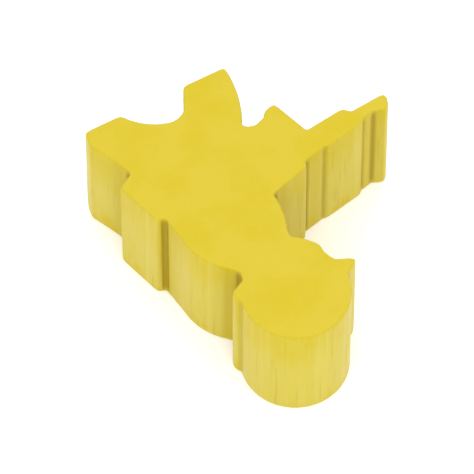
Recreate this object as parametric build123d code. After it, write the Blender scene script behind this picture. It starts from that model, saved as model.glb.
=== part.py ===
"""A wooden meeple: one profile of wood, cut right through and painted all over.

The piece lies flat, as it lies in a game box: its sawn faces point up and down,
its feet point to -Y, and the long prop in its arms points to -X. Stood up on
its soles, the figure leans forward.
"""
import math
import os

from build123d import *

# Driving dimensions, in millimetres and degrees.
THICKNESS = 8.0        # the plank that the profile is cut through
LEAN = 11.8            # how far the figure leans forward over its soles
HEAD_RADIUS = 3.33
HEAD_HEIGHT = 16.9     # middle of the head above the heel of the back foot
HEAD_SETBACK = 0.08    # middle of the head behind X = 0
FACE = 3.2             # brow and jaw in front of X = 0
PEAK_REACH = 4.25      # tip of the headgear's peak in front of X = 0
NECK_HEIGHT = 13.75    # narrowest level of the neck
SHOULDER = 10.9        # where the chest meets the top of the arm
PROP_TOP = 10.5        # raised middle stretch of the long prop's upper edge
PROP_REACH = 13.36     # tip of the prop in front of X = 0
BLOCK_FLOOR = 5.95     # underside of the block below the prop
ARCH_TOP = 2.93        # top of the arch between the legs
BACK_HEEL = 2.1        # heel of the back foot behind X = 0
HIP = 3.15             # the figure's hip behind X = 0
CORNER_ROUND = 0.15    # upright corners, softened by tumbling and paint
RIM_ROUND = 0.15       # rims of the two sawn faces, softened the same way

# The outline is set out on the figure's own axes, before it leans: X = 0 runs
# through the head, just in front of its middle, and Y = 0 through the heel of
# the back foot. These are the points where two stretches of the outline meet.
PEAK = (-PEAK_REACH, HEAD_HEIGHT + 0.65)
CHEST_FOOT = (-3.5, SHOULDER)
BLOCK_FRONT = (-6.1, BLOCK_FLOOR + 0.44)
HIP_TOP = (HIP, 4.45)
HELMET_REAR = (3.18, HEAD_HEIGHT - 1.85)


def sole(x):
    """The point of the soles' common line at this distance behind X = 0."""
    return (x, (BACK_HEEL - x) * math.tan(math.radians(LEAN)))


def face_and_chest():
    """From the peak of the headgear, down the face and the chest, to the arm."""
    brow = (-FACE, HEAD_HEIGHT - 0.15)
    jaw = (-FACE, HEAD_HEIGHT - 1.5)
    throat = (-2.3, NECK_HEIGHT)
    collar = (-2.45, NECK_HEIGHT - 0.45)
    Line(PEAK, brow)
    ThreePointArc(brow, (-FACE + 0.13, HEAD_HEIGHT - 0.8), jaw)
    ThreePointArc(jaw, (-2.86, 14.6), throat)
    Line(throat, collar)
    ThreePointArc(collar, (-3.15, 12.1), CHEST_FOOT)


def arm_and_prop():
    """Along the arm and the prop, round its tip, and back to the block below it."""
    Polyline(
        CHEST_FOOT,
        (-6.3, SHOULDER - 0.15),
        (-6.5, PROP_TOP - 0.1),
        (-8.05, PROP_TOP - 0.12),
        (-8.25, PROP_TOP),
        (-10.95, PROP_TOP + 0.08),
        (-11.15, PROP_TOP - 0.1),
        (-12.0, PROP_TOP - 0.12),
        (-12.65, PROP_TOP + 0.36),
        (-12.95, PROP_TOP + 0.2),
        (-PROP_REACH, PROP_TOP - 0.38),
        (-PROP_REACH + 0.05, PROP_TOP - 0.72),
        (-11.0, PROP_TOP - 1.03),
        (-10.7, PROP_TOP - 1.54),
        (-8.07, PROP_TOP - 1.78),
        (-7.87, BLOCK_FLOOR),
        (-7.05, BLOCK_FLOOR + 0.05),
        (-6.7, BLOCK_FLOOR + 0.35),
        BLOCK_FRONT,
    )


def legs():
    """Under the arm, down the front leg, through the arch and round the back foot."""
    knee = (-5.4, BLOCK_FLOOR - 0.05)
    front_toe = sole(-7.4)
    front_heel = sole(-4.55)
    arch_front = (-3.45, 2.72)
    arch_back = (-2.0, 2.7)
    back_toe = sole(-0.35)
    heel_top = (2.53, 0.95)
    calf_top = (2.0, 4.1)
    ThreePointArc(BLOCK_FRONT, (-5.6, BLOCK_FLOOR + 0.22), knee)
    ThreePointArc(knee, (-6.68, 4.05), front_toe)
    Polyline(front_toe, front_heel, arch_front)
    ThreePointArc(arch_front, (-2.8, ARCH_TOP), arch_back)
    ThreePointArc(arch_back, (-0.95, 1.75), back_toe)
    Polyline(back_toe, sole(BACK_HEEL), heel_top)
    ThreePointArc(heel_top, (2.15, 2.9), calf_top)
    Line(calf_top, HIP_TOP)


def back_and_nape():
    """Up the hip and the back to the nape, and round the rear rim of the headgear."""
    small_of_back = (2.78, 9.8)
    shoulder_blade = (2.1, 13.05)
    nape = (1.75, NECK_HEIGHT)
    Polyline(HIP_TOP, (HIP - 0.1, 7.7), (2.58, 7.95), small_of_back)
    ThreePointArc(small_of_back, (2.78, 11.55), shoulder_blade)
    under_rim = (3.05, HEAD_HEIGHT - 2.4)
    Polyline(shoulder_blade, nape, (1.95, NECK_HEIGHT + 0.45), under_rim, HELMET_REAR)


def crown():
    """Over the head, from the crease above the headgear's rear rim to the peak."""
    start_angle = -29
    end_angle = 159
    centre = Vector(HEAD_SETBACK, HEAD_HEIGHT)
    back = Vector(HEAD_RADIUS, 0)
    Line(HELMET_REAR, centre + back.rotate(Axis.Z, start_angle))
    CenterArc(centre, HEAD_RADIUS, start_angle, end_angle - start_angle)
    Line(centre + back.rotate(Axis.Z, end_angle), PEAK)


def meeple_body():
    """The whole piece, leaning over its soles and centred over its own box."""
    with BuildPart() as body:
        with BuildSketch(Plane.XY.rotated((0, 0, LEAN))) as outline:
            with BuildLine():
                face_and_chest()
                arm_and_prop()
                legs()
                back_and_nape()
                crown()
            make_face()
            fillet(outline.vertices(), CORNER_ROUND)
        extrude(amount=THICKNESS)
        rims = body.faces().filter_by(Axis.Z).edges()
        fillet(rims, RIM_ROUND)
    middle = body.part.bounding_box().center()
    return body.part.moved(Location((-middle.X, -middle.Y, 0)))


os.makedirs("parts", exist_ok=True)
export_step(meeple_body(), "parts/meeple_body.step")
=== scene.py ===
"""The look of the wooden meeple: a softened, worn mesh in the CAD piece's place, and its paint.

The outline and the thickness are read from the CAD node, so the piece keeps its
place, shape and size. The mesh adds what the plain solid lacks: rims rounded by
tumbling, fibres that show through the paint on the milled edge, the marks of the
saw on the two sawn faces, deeper inner corners, and a few dents. Lengths are in
millimetres until the mesh is made, and then in metres, like the frame.
"""

import math
import random

import bmesh
import bpy
import numpy as np
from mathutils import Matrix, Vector, geometry, kdtree, noise


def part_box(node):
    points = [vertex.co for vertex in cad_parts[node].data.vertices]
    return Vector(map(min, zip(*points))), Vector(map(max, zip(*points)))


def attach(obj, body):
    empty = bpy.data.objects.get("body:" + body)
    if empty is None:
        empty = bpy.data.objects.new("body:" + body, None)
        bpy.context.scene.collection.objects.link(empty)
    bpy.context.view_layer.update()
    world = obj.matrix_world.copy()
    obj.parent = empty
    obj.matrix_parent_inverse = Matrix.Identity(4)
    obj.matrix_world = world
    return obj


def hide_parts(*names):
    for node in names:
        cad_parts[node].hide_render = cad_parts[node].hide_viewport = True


NODE = "meeple_body"
MM = 0.001              # one millimetre, in metres
SAME_POINT = 1e-7       # points nearer to each other than this are one point
SEED = 11

# How closely the mesh is spaced.
ALONG = 0.066           # along the outline
UP = 0.17               # up the milled edge
ACROSS = 0.15           # on the sawn faces
EDGE_GAP = 0.65         # free strip inside the rim, as a share of ACROSS
RIM_ROWS = 4            # rows of points round each rim
SPAN_STEPS = 24         # steps on each curved span, before the outline is spaced evenly
SMOOTHING = 2           # passes of blur over the spaced outline

# The shape of the surface.
STRAIGHT = 0.3          # a CAD corner that turns less than this, in degrees, is left out
RIM_RADIUS = 0.14       # softened rims, where the sawn faces meet the milled edge
TIGHT_RIM = 0.7         # largest rim on a tight corner, as a share of the corner's radius
SKIN = 0.01             # the surface starts this far inside the CAD solid
FIBRE_DEPTH = 0.014     # fibres along the thickness, on the milled edge
FIBRE_SCALE = (2.8, 2.8, 0.1)    # fibres to the millimetre, along X, Y and Z
FINE_SCALE = (7.0, 7.0, 0.25)    # the same for the finer fibres
FINE_SHARE = 0.35       # the finer fibres' share of the depth
CHATTER_DEPTH = 0.004   # marks of the moulding cutter, across the fibres
CHATTER_PITCH = 0.62
SAW_DEPTH = 0.006       # marks of the saw, on the two sawn faces
SAW_PITCH = 0.45
SAW_CENTRE = (70.0, -25.0)       # axle of the saw blade, so the marks are long arcs
STRAY = 3.0             # how far the tools' marks stray from even spacing, in radians
STRAY_SCALE = (0.4, 0.4, 0.4)    # and how often, to the millimetre
GROOVE_DEPTH = 0.06     # inner corners, cut a little deeper by the tip of the cutter
GROOVE_START = 0.5      # how far from a rim a groove reaches its full depth
CORNER_WEAR = 0.05      # outer corners of the rims, worn down a little
RIM_FADE = 0.22         # how quickly the rims' wear fades with distance from them
DENTS = 16
DENT_DEPTH = 0.035
DENT_DEPTHS = (0.4, 1.0)         # shallowest and deepest dent, as shares of that
DENT_RADIUS = 0.32
DENT_SIZES = (0.6, 1.5)          # smallest and largest dent, as shares of that
NEAR_RIM = 0.8          # dents are centred where the rims' wear is at least this strong

# Marks that follow the turns of the outline: passes of blur, then the turns at which the
# mark starts and is full, in radians from one point to the next.
CORNER = (5, 0, 0.2)         # outer corners
GROOVE = (7, 0.02, 0.12)     # inner corners, where they are cut deeper and shade is painted
BULGE = (200, 0, 0.014)      # longer stretches that bulge out, such as the head
HOLLOW = (250, 0, 0.02)      # longer stretches that curve in, such as the arch, where shade is painted
BULGE_LOSS = 0.75            # share of a groove that is lost on a bulge

# The paint's colours, linear.
EVEN = (0.630, 0.496, 0.043, 1)         # on the sawn faces
CLOUDY = (0.610, 0.476, 0.028, 1)       # a little thicker, in clouds
RICH = (0.558, 0.438, 0.018, 1)         # on the milled edge, near the rims, outside the painted reflection
REFLECTED_PALE = (0.572, 0.470, 0.062, 1)         # on the milled edge, further down: paler, a painted reflection of the white card
THIN = (0.615, 0.518, 0.105, 1)         # over ridges in the wood, and where it is worn
FIBRE_LINE = (0.430, 0.320, 0.006, 1)   # in open fibres
HOLLOW_SHADE = (0.500, 0.380, 0.002, 1)       # painted shade in the hollows of the milled edge, darker and more saturated
CORNER_SHADE = (0.340, 0.232, 0.000, 1)       # painted shade in the inner corners

# How much of a colour shows where it shows most, as a share.
SPECKS = 0.3            # dark specks on the sawn faces
RIDGES = 0.45           # thin paint over ridges
LINES = 0.45            # open fibres
HOLLOW_SHADE_SHARE = 0.5             # painted shade in hollows
CORNER_SHADE_SHARE = 0.9              # painted shade in inner corners
WEAR = 0.15             # thin paint on worn rims

# The finish of the paint.
GRAIN_STRENGTH = 0.45
GRAIN_HEIGHT = 0.02     # in millimetres
SMOOTHEST = 0.38        # roughness of the paint
ROUGHEST = 0.48
GLOSS = 0.2
GLOSS_TINT = (1, 0.85, 0.15, 1)

# The camera looks at the piece lying flat, from above the back of its head.
VIEW_AZIMUTH = 150.4
VIEW_ELEVATION = 56.9
VIEW_DISTANCE = 0.3715
VIEW_WIDTH = 0.0286     # width of the picture at the piece
SENSOR = 36.0
CLIP_START = 0.01

# The set: white card in a white tent, with one softbox.
WHITE = (1, 1, 1, 1)
CARD_REACH = 3.0        # half the card's width
CARD_DROP = 0.01        # the card's distance below the piece, in millimetres
CARD_COLOUR = (0.93, 0.93, 0.93, 1)
CARD_ROUGHNESS = 0.9
CARD_GLOW = 0.2
TENT_STRENGTH = 1.12
KEY_AZIMUTH = 160
KEY_ELEVATION = 60
KEY_DISTANCE = 0.6
KEY_SIZE = 0.5
KEY_POWER = 0.8


def cad_outline(node):
    """Corners of the CAD node's outline halfway up, in order, in millimetres."""
    low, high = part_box(node.name)
    cut = bmesh.new()
    cut.from_mesh(node.data)
    bmesh.ops.remove_doubles(cut, verts=cut.verts, dist=SAME_POINT)
    bmesh.ops.bisect_plane(
        cut,
        geom=cut.verts[:] + cut.edges[:] + cut.faces[:],
        plane_co=(low + high) / 2,
        plane_no=(0, 0, 1),
        clear_inner=True,
        clear_outer=True,
    )
    cut.verts.ensure_lookup_table()
    here, edge = cut.verts[0], cut.verts[0].link_edges[0]
    corners = []
    while not corners or here is not cut.verts[0]:
        corners.append(here.co.xy / MM)
        here = edge.other_vert(here)
        edge = next(e for e in here.link_edges if e is not edge)
    cut.free()
    corners = np.array(corners)
    x, y = corners.T
    area = (x * np.roll(y, -1) - np.roll(x, -1) * y).sum()
    return corners if area > 0 else corners[::-1]


def turns(points):
    """How far a closed line turns at each point, in radians, positive where it bulges out."""
    ahead = np.roll(points, -1, 0) - points
    behind = points - np.roll(points, 1, 0)
    cross = behind[:, 0] * ahead[:, 1] - behind[:, 1] * ahead[:, 0]
    return np.arctan2(cross, (ahead * behind).sum(1))


def smooth_outline(corners):
    """Evenly spaced points along the smooth closed line through the corners."""
    corners = corners[np.abs(turns(corners)) > math.radians(STRAIGHT)]
    chord = np.roll(corners, -1, 0) - corners
    length = np.linalg.norm(chord, axis=1, keepdims=True)
    tangent = chord * length + np.roll(chord * length, 1, 0)
    tangent /= np.linalg.norm(tangent, axis=1, keepdims=True)
    start, end = tangent * length, np.roll(tangent, -1, 0) * length
    spans = []
    for t in np.linspace(0, 1, SPAN_STEPS, endpoint=False):
        spans.append(
            corners
            + start * t * (1 - t) ** 2
            + chord * t * t * (3 - 2 * t)
            - end * t * t * (1 - t)
        )
    dense = np.stack(spans, axis=1).reshape(-1, 2)
    dense = np.vstack([dense, dense[:1]])
    step = np.linalg.norm(np.diff(dense, axis=0), axis=1)
    reached = np.concatenate([[0], np.cumsum(step)])
    count = round(reached[-1] / ALONG)
    at = np.arange(count) * reached[-1] / count
    points = np.stack([np.interp(at, reached, dense[:, k]) for k in (0, 1)], axis=1)
    return blur(points, SMOOTHING)


def blur(values, passes):
    """Values round a closed line, evened out with their neighbours."""
    for _ in range(passes):
        values = (np.roll(values, 1, 0) + 2 * values + np.roll(values, -1, 0)) / 4
    return values


def graded(values, start, full):
    """Values spread from 0 at the start to 1 at the full, and held there beyond."""
    return np.clip((values - start) / (full - start), 0, 1)


def mark(turn, passes, start, full):
    """How strong a mark is round the outline, from 0 to 1, by how far the outline turns."""
    return graded(blur(turn, passes), start, full)


def outward(points):
    """Unit normals of a closed line."""
    along = np.roll(points, -1, 0) - np.roll(points, 1, 0)
    normals = np.stack([along[:, 1], -along[:, 0]], axis=1)
    return normals / np.linalg.norm(normals, axis=1, keepdims=True)


def noise_at(points, scale, offset):
    """Noise from about -1 to 1 at each point; another offset gives another noise."""
    return np.array([noise.noise(Vector(p)) for p in points * np.array(scale) + offset])


def inside(points, loop):
    """Which points lie inside a closed line."""
    x, y = points[:, 0:1], points[:, 1:2]
    x0, y0 = loop.T
    x1, y1 = np.roll(loop, -1, 0).T
    crosses = (y0 > y) != (y1 > y)
    slope = (x1 - x0) / np.where(y1 == y0, 1, y1 - y0)
    return (crosses & (x < x0 + (y - y0) * slope)).sum(1) % 2 == 1


def nearest(points, loop):
    """Which point of a closed line is nearest to each point, and how far away it is."""
    tree = kdtree.KDTree(len(loop))
    for i, (x, y) in enumerate(loop):
        tree.insert((x, y, 0), i)
    tree.balance()
    found = [tree.find((x, y, 0)) for x, y in points]
    return np.array([f[1] for f in found]), np.array([f[2] for f in found])


def fill_points(loop):
    """Points that fill a closed line with a grid of even triangles."""
    low, high = loop.min(0), loop.max(0)
    rows = np.arange(low[1], high[1], ACROSS * math.sqrt(3) / 2)
    columns = np.arange(low[0], high[0], ACROSS)
    x = columns[None, :] + (np.arange(len(rows)) % 2)[:, None] * ACROSS / 2
    grid = np.stack([x, np.broadcast_to(rows[:, None], x.shape)], axis=2).reshape(-1, 2)
    grid = grid[inside(grid, loop)]
    gap = nearest(grid, loop)[1]
    return grid[gap > EDGE_GAP * ACROSS]


def fill(loop):
    """Points inside a closed line, and triangles over the line's points and then those."""
    extra = fill_points(loop)
    count = len(loop)
    points = [Vector(p) for p in np.vstack([loop, extra])]
    edges = [(i, (i + 1) % count) for i in range(count)]
    inside_only = 1
    made = geometry.delaunay_2d_cdt(points, edges, [], inside_only, SAME_POINT)
    faces, sources = made[2], made[3]
    return extra, np.array([[sources[i][0] for i in face] for face in faces])


def rim_radii(outline):
    """The rim's radius at each point: a corner tighter than the rim has a smaller one."""
    slightest = 1e-3    # a turn this small or smaller makes no corner
    corner_radius = ALONG / np.maximum(turns(outline), slightest)
    return blur(np.minimum(RIM_RADIUS, TIGHT_RIM * corner_radius - SKIN), 1)


def wall_rows(thickness, radii):
    """How far in, how high and how upright each point of the edge is, row by row."""
    angle = np.linspace(0, math.pi / 2, RIM_ROWS + 1)[:, None]
    inset = radii * (1 - np.sin(angle))
    height = radii * (1 - np.cos(angle))
    steps = round(thickness / UP)
    share = np.linspace(0, 1, steps + 1)[1:-1, None]
    straight = radii + share * (thickness - 2 * radii)
    inset = np.vstack([inset, 0 * straight, inset[::-1]])
    height = np.vstack([height, straight, thickness - height[::-1]])
    upright = np.vstack([np.sin(angle), 1 + 0 * share, np.sin(angle)[::-1]])
    return inset, height, np.repeat(upright, len(radii), 1)


def all_faces(rows, count, extra_count, triangles):
    """Quads round the milled edge, and the triangles of the two sawn faces."""
    here = np.arange(rows * count).reshape(rows, count)
    ahead = np.roll(here, -1, 1)
    quads = np.stack([here[:-1], ahead[:-1], ahead[1:], here[1:]], axis=2).reshape(-1, 4)
    lower = here.size + np.arange(extra_count)
    under = np.concatenate([here[0], lower])
    over = np.concatenate([here[-1], lower + extra_count])
    return quads.tolist() + under[triangles][:, ::-1].tolist() + over[triangles].tolist()


def tool_marks(points, share):
    """Depth of the fibres and the cutter's marks on the edge, and of the saw's on the faces."""
    coarse = 0.5 + 0.5 * noise_at(points, FIBRE_SCALE, 3.1)
    fine = 0.5 + 0.5 * noise_at(points, FINE_SCALE, 9.4)
    fibre = (1 - FINE_SHARE) * coarse + FINE_SHARE * fine
    stray = STRAY * noise_at(points, STRAY_SCALE, 5.7)
    reach = np.linalg.norm(points[:, :2] - SAW_CENTRE, axis=1)
    chatter = 0.5 + 0.5 * np.sin(2 * math.pi * points[:, 2] / CHATTER_PITCH + stray)
    saw = 0.5 + 0.5 * np.sin(2 * math.pi * reach / SAW_PITCH + stray)
    return share * (FIBRE_DEPTH * fibre + CHATTER_DEPTH * chatter) + (1 - share) * SAW_DEPTH * saw


def dents(points, rim):
    """Depth of the dents: they are on the rims, where the piece was knocked."""
    pick = random.Random(SEED)
    places = pick.sample(list(np.flatnonzero(rim > NEAR_RIM)), DENTS)
    depth = np.zeros(len(points))
    for place in places:
        radius = DENT_RADIUS * pick.uniform(*DENT_SIZES)
        deepest = DENT_DEPTH * pick.uniform(*DENT_DEPTHS)
        far = np.linalg.norm(points - points[place], axis=1) / radius
        depth = np.maximum(depth, deepest * np.clip(1 - far * far, 0, 1) ** 2)
    return depth


def meeple_mesh(node):
    """The whole surface. Its attributes tell the paint where each point is on the piece."""
    low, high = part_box(node.name)
    thickness = (high.z - low.z) / MM
    outline = smooth_outline(cad_outline(node))
    normals = outward(outline)

    inset, height, upright = wall_rows(thickness, rim_radii(outline))
    rows, count = inset.shape
    walls = np.empty((rows, count, 3))
    walls[:, :, :2] = outline - normals * (SKIN + inset)[:, :, None]
    walls[:, :, 2] = height
    loop = walls[0, :, :2]
    extra, triangles = fill(loop)
    bottom = np.column_stack([extra, np.zeros(len(extra))])
    top = bottom + (0, 0, thickness)
    points = np.vstack([walls.reshape(-1, 3), bottom, top])
    faces = all_faces(rows, count, len(extra), triangles)

    # Each point's column of the edge, its distance from a rim, and how upright it is.
    column, gap = nearest(extra, loop)
    column = np.concatenate([np.tile(np.arange(count), rows), column, column])
    gap = np.concatenate([np.minimum(height, thickness - height).ravel(), gap, gap])
    share = np.concatenate([upright.ravel(), np.zeros(2 * len(extra))])

    turn = turns(outline)
    corner = mark(turn, *CORNER)[column]
    groove = mark(-turn, *GROOVE) * (1 - BULGE_LOSS * mark(turn, *BULGE))
    groove = groove[column] * share * graded(gap, 0, GROOVE_START)
    hollow = mark(-turn, *HOLLOW)[column] * share
    rim = np.exp(-gap / RIM_FADE)
    level = points[:, 2] / thickness

    side = np.where(level > 0.5, 1, -1)
    lift = np.sqrt(np.clip(1 - share * share, 0, 1)) * side
    out = np.column_stack([normals[column] * share[:, None], lift])
    depth = tool_marks(points, share) + dents(points, rim)
    depth += CORNER_WEAR * corner * rim + GROOVE_DEPTH * groove
    points = np.clip((points - out * depth[:, None]) * MM, np.array(low), np.array(high))

    mesh = bpy.data.meshes.new("painted_meeple")
    mesh.from_pydata(points.tolist(), [], faces)
    mesh.shade_smooth()
    for name, values in (
        ("wall", share), ("groove", groove), ("hollow", hollow), ("rim", rim), ("level", level)
    ):
        attribute = mesh.attributes.new(name, "FLOAT", "POINT")
        attribute.data.foreach_set("value", values.astype(np.float32))
    mesh.validate()
    return mesh


def connect(tree, socket, value):
    """Give an input a number, a colour or another node's output."""
    if isinstance(value, bpy.types.NodeSocket):
        tree.links.new(value, socket)
    else:
        socket.default_value = value


def add(tree, kind, settings=None, **inputs):
    """A shader node with its settings and its named inputs."""
    made = tree.nodes.new("ShaderNode" + kind)
    for name, value in (settings or {}).items():
        setattr(made, name, value)
    for name, value in inputs.items():
        connect(tree, made.inputs[name.replace("_", " ")], value)
    return made


def mix(tree, factor, first, second):
    """One colour laid over another, as far as the factor says."""
    made = add(tree, "Mix", {"data_type": "RGBA"})
    for index, value in ((0, factor), (6, first), (7, second)):
        connect(tree, made.inputs[index], value)
    return made.outputs[2]


def ramp(tree, value, low, high, out_low=0.0, out_high=1.0):
    """The value spread smoothly from one range to another. Noise is mostly from 0.3 to 0.7."""
    made = add(
        tree, "MapRange", {"interpolation_type": "SMOOTHSTEP"},
        Value=value, From_Min=low, From_Max=high, To_Min=out_low, To_Max=out_high,
    )
    return made.outputs["Result"]


def maths(tree, operation, first, second):
    """One sum on two numbers."""
    made = add(tree, "Math", {"operation": operation})
    for index, value in enumerate((first, second)):
        connect(tree, made.inputs[index], value)
    return made.outputs[0]


def attribute(tree, name):
    """One of the mesh's own values."""
    return add(tree, "Attribute", {"attribute_name": name}).outputs["Fac"]


def grain(tree, place, scale, detail=4.0):
    """Noise with a scale for each axis, in features to the millimetre."""
    stretched = add(tree, "Mapping", Vector=place, Scale=scale)
    made = add(
        tree, "TexNoise", Vector=stretched.outputs[0], Scale=1.0, Detail=detail, Roughness=0.55
    )
    return made.outputs["Fac"]


def face_colour(tree, clouds, specks):
    """Paint on the sawn faces: even, with faint clouds and fine specks."""
    colour = mix(tree, ramp(tree, clouds, 0.35, 0.7), EVEN, CLOUDY)
    return mix(tree, ramp(tree, specks, 0.58, 0.75, 0, SPECKS), colour, FIBRE_LINE)


def side_colour(tree, patches, fibres, hairs):
    """Paint on the milled edge: rich near the rims, paler between them where a reflection of the
    white card is painted, streaked by the fibres, with painted shade in the hollows.
    """
    # Paler down the middle of the edge: a painted reflection of the white card, with rich paint
    # near both rims.
    level = maths(tree, "ADD", attribute(tree, "level"), ramp(tree, patches, 0.3, 0.7, -0.12, 0.12))
    colour = mix(tree, ramp(tree, level, 1.0, 0.45), RICH, REFLECTED_PALE)
    colour = mix(tree, ramp(tree, level, 0.12, -0.04), colour, RICH)
    colour = mix(tree, ramp(tree, fibres, 0.48, 0.70, 0, RIDGES), colour, THIN)
    lines = maths(tree, "MULTIPLY", ramp(tree, hairs, 0.54, 0.70), ramp(tree, fibres, 0.60, 0.40))
    colour = mix(tree, maths(tree, "MULTIPLY", lines, LINES), colour, FIBRE_LINE)
    # Painted shade in the hollows.
    shade = maths(tree, "MULTIPLY", attribute(tree, "hollow"), HOLLOW_SHADE_SHARE)
    return mix(tree, shade, colour, HOLLOW_SHADE)


def painted_wood():
    """Satin yellow paint: even on the sawn faces, thinner over the fibres of the milled edge."""
    material = bpy.data.materials.new("painted_wood")
    material.use_nodes = True
    tree = material.node_tree
    tree.nodes.clear()
    metres = add(tree, "TexCoord").outputs["Object"]
    place = add(tree, "VectorMath", {"operation": "SCALE"}, Vector=metres, Scale=1 / MM).outputs[0]
    clouds = grain(tree, place, (0.35, 0.35, 0.35))
    patches = grain(tree, place, (0.55, 0.55, 0.22), 3)
    fibres = grain(tree, place, (2.2, 2.2, 0.08), 5)
    hairs = grain(tree, place, (7.0, 7.0, 0.30), 3)
    specks = grain(tree, place, (14.0, 14.0, 14.0), 2)

    wall = attribute(tree, "wall")
    face = face_colour(tree, clouds, specks)
    side = side_colour(tree, patches, fibres, hairs)
    colour = mix(tree, wall, face, side)
    # Painted shade in the inner corners.
    colour = mix(tree, maths(tree, "MULTIPLY", attribute(tree, "groove"), CORNER_SHADE_SHARE), colour, CORNER_SHADE)
    rim = ramp(tree, attribute(tree, "rim"), 0.45, 0.9)
    worn = maths(tree, "MULTIPLY", rim, ramp(tree, hairs, 0.4, 0.65))
    colour = mix(tree, maths(tree, "MULTIPLY", worn, WEAR), colour, THIN)

    relief = mix(tree, wall, specks, hairs)
    bump = add(tree, "Bump", Strength=GRAIN_STRENGTH, Distance=GRAIN_HEIGHT * MM, Height=relief)
    roughness = ramp(tree, clouds, 0.3, 0.7, SMOOTHEST, ROUGHEST)
    shader = add(
        tree, "BsdfPrincipled",
        Base_Color=colour, Roughness=roughness, Normal=bump.outputs[0],
        Specular_IOR_Level=GLOSS, Specular_Tint=GLOSS_TINT,
    )
    add(tree, "OutputMaterial", Surface=shader.outputs[0])
    return material


def white_card():
    """Plain matt white card."""
    material = bpy.data.materials.new("white_card")
    material.use_nodes = True
    shader = material.node_tree.nodes["Principled BSDF"]
    shader.inputs["Base Color"].default_value = CARD_COLOUR
    shader.inputs["Roughness"].default_value = CARD_ROUGHNESS
    shader.inputs["Emission Color"].default_value = WHITE
    shader.inputs["Emission Strength"].default_value = CARD_GLOW
    return material


def make_floor():
    """A sheet of card under the piece, out to where it can't be told from the sky."""
    mesh = bpy.data.meshes.new("floor")
    signs = ((-1, -1), (1, -1), (1, 1), (-1, 1))
    mesh.from_pydata([(x * CARD_REACH, y * CARD_REACH, 0) for x, y in signs], [], [(0, 1, 2, 3)])
    mesh.materials.append(white_card())
    floor = bpy.data.objects.new("floor", mesh)
    floor.location.z = -CARD_DROP * MM
    bpy.context.scene.collection.objects.link(floor)


def direction(azimuth, elevation):
    """The way from the piece to a viewer at an azimuth and elevation."""
    turn, rise = math.radians(azimuth), math.radians(elevation)
    flat = math.cos(rise)
    return Vector((math.sin(turn) * flat, -math.cos(turn) * flat, math.sin(rise)))


def aim(name, data, place, back):
    """Put a light or a camera in its place, facing against the back direction."""
    made = bpy.data.objects.new(name, data)
    made.location = place
    made.rotation_mode = "QUATERNION"
    made.rotation_quaternion = (-back).to_track_quat("-Z", "Y")
    bpy.context.scene.collection.objects.link(made)
    return made


def make_key_light():
    """A square softbox that faces the piece."""
    lamp = bpy.data.lights.new("key", "AREA")
    lamp.size = KEY_SIZE
    lamp.energy = KEY_POWER
    back = direction(KEY_AZIMUTH, KEY_ELEVATION)
    aim("key", lamp, back * KEY_DISTANCE, back)


def make_tent():
    """A white tent round the whole set."""
    world = bpy.data.worlds.new("white_tent")
    world.use_nodes = True
    background = world.node_tree.nodes["Background"]
    background.inputs["Color"].default_value = WHITE
    background.inputs["Strength"].default_value = TENT_STRENGTH
    bpy.context.scene.world = world


def make_camera(node):
    """A camera with the piece in the middle of its picture."""
    back = direction(VIEW_AZIMUTH, VIEW_ELEVATION)
    right = Vector((0, 0, 1)).cross(back).normalized()
    up = back.cross(right)
    corners = [v.co for v in node.data.vertices]
    target = Vector((0, 0, 0))
    for axis in (back, right, up):
        along = [axis.dot(c) for c in corners]
        target += axis * (min(along) + max(along)) / 2
    lens = bpy.data.cameras.new("camera")
    lens.sensor_width = SENSOR
    lens.lens = SENSOR * VIEW_DISTANCE / VIEW_WIDTH
    lens.clip_start = CLIP_START
    bpy.context.scene.camera = aim("camera", lens, target + back * VIEW_DISTANCE, back)


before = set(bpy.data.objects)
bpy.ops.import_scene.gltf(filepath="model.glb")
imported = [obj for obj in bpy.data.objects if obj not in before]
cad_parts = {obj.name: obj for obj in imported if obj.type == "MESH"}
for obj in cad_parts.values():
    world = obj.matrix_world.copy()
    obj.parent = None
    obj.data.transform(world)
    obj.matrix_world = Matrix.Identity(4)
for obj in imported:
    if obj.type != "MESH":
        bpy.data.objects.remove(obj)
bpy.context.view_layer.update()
cad_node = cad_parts[NODE]
bpy.context.scene.view_settings.view_transform = "Standard"

make_camera(cad_node)
make_tent()
make_key_light()
make_floor()

meeple = bpy.data.objects.new("painted_meeple", meeple_mesh(cad_node))
meeple.data.materials.append(painted_wood())
bpy.context.scene.collection.objects.link(meeple)
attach(meeple, "root")
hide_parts(NODE)
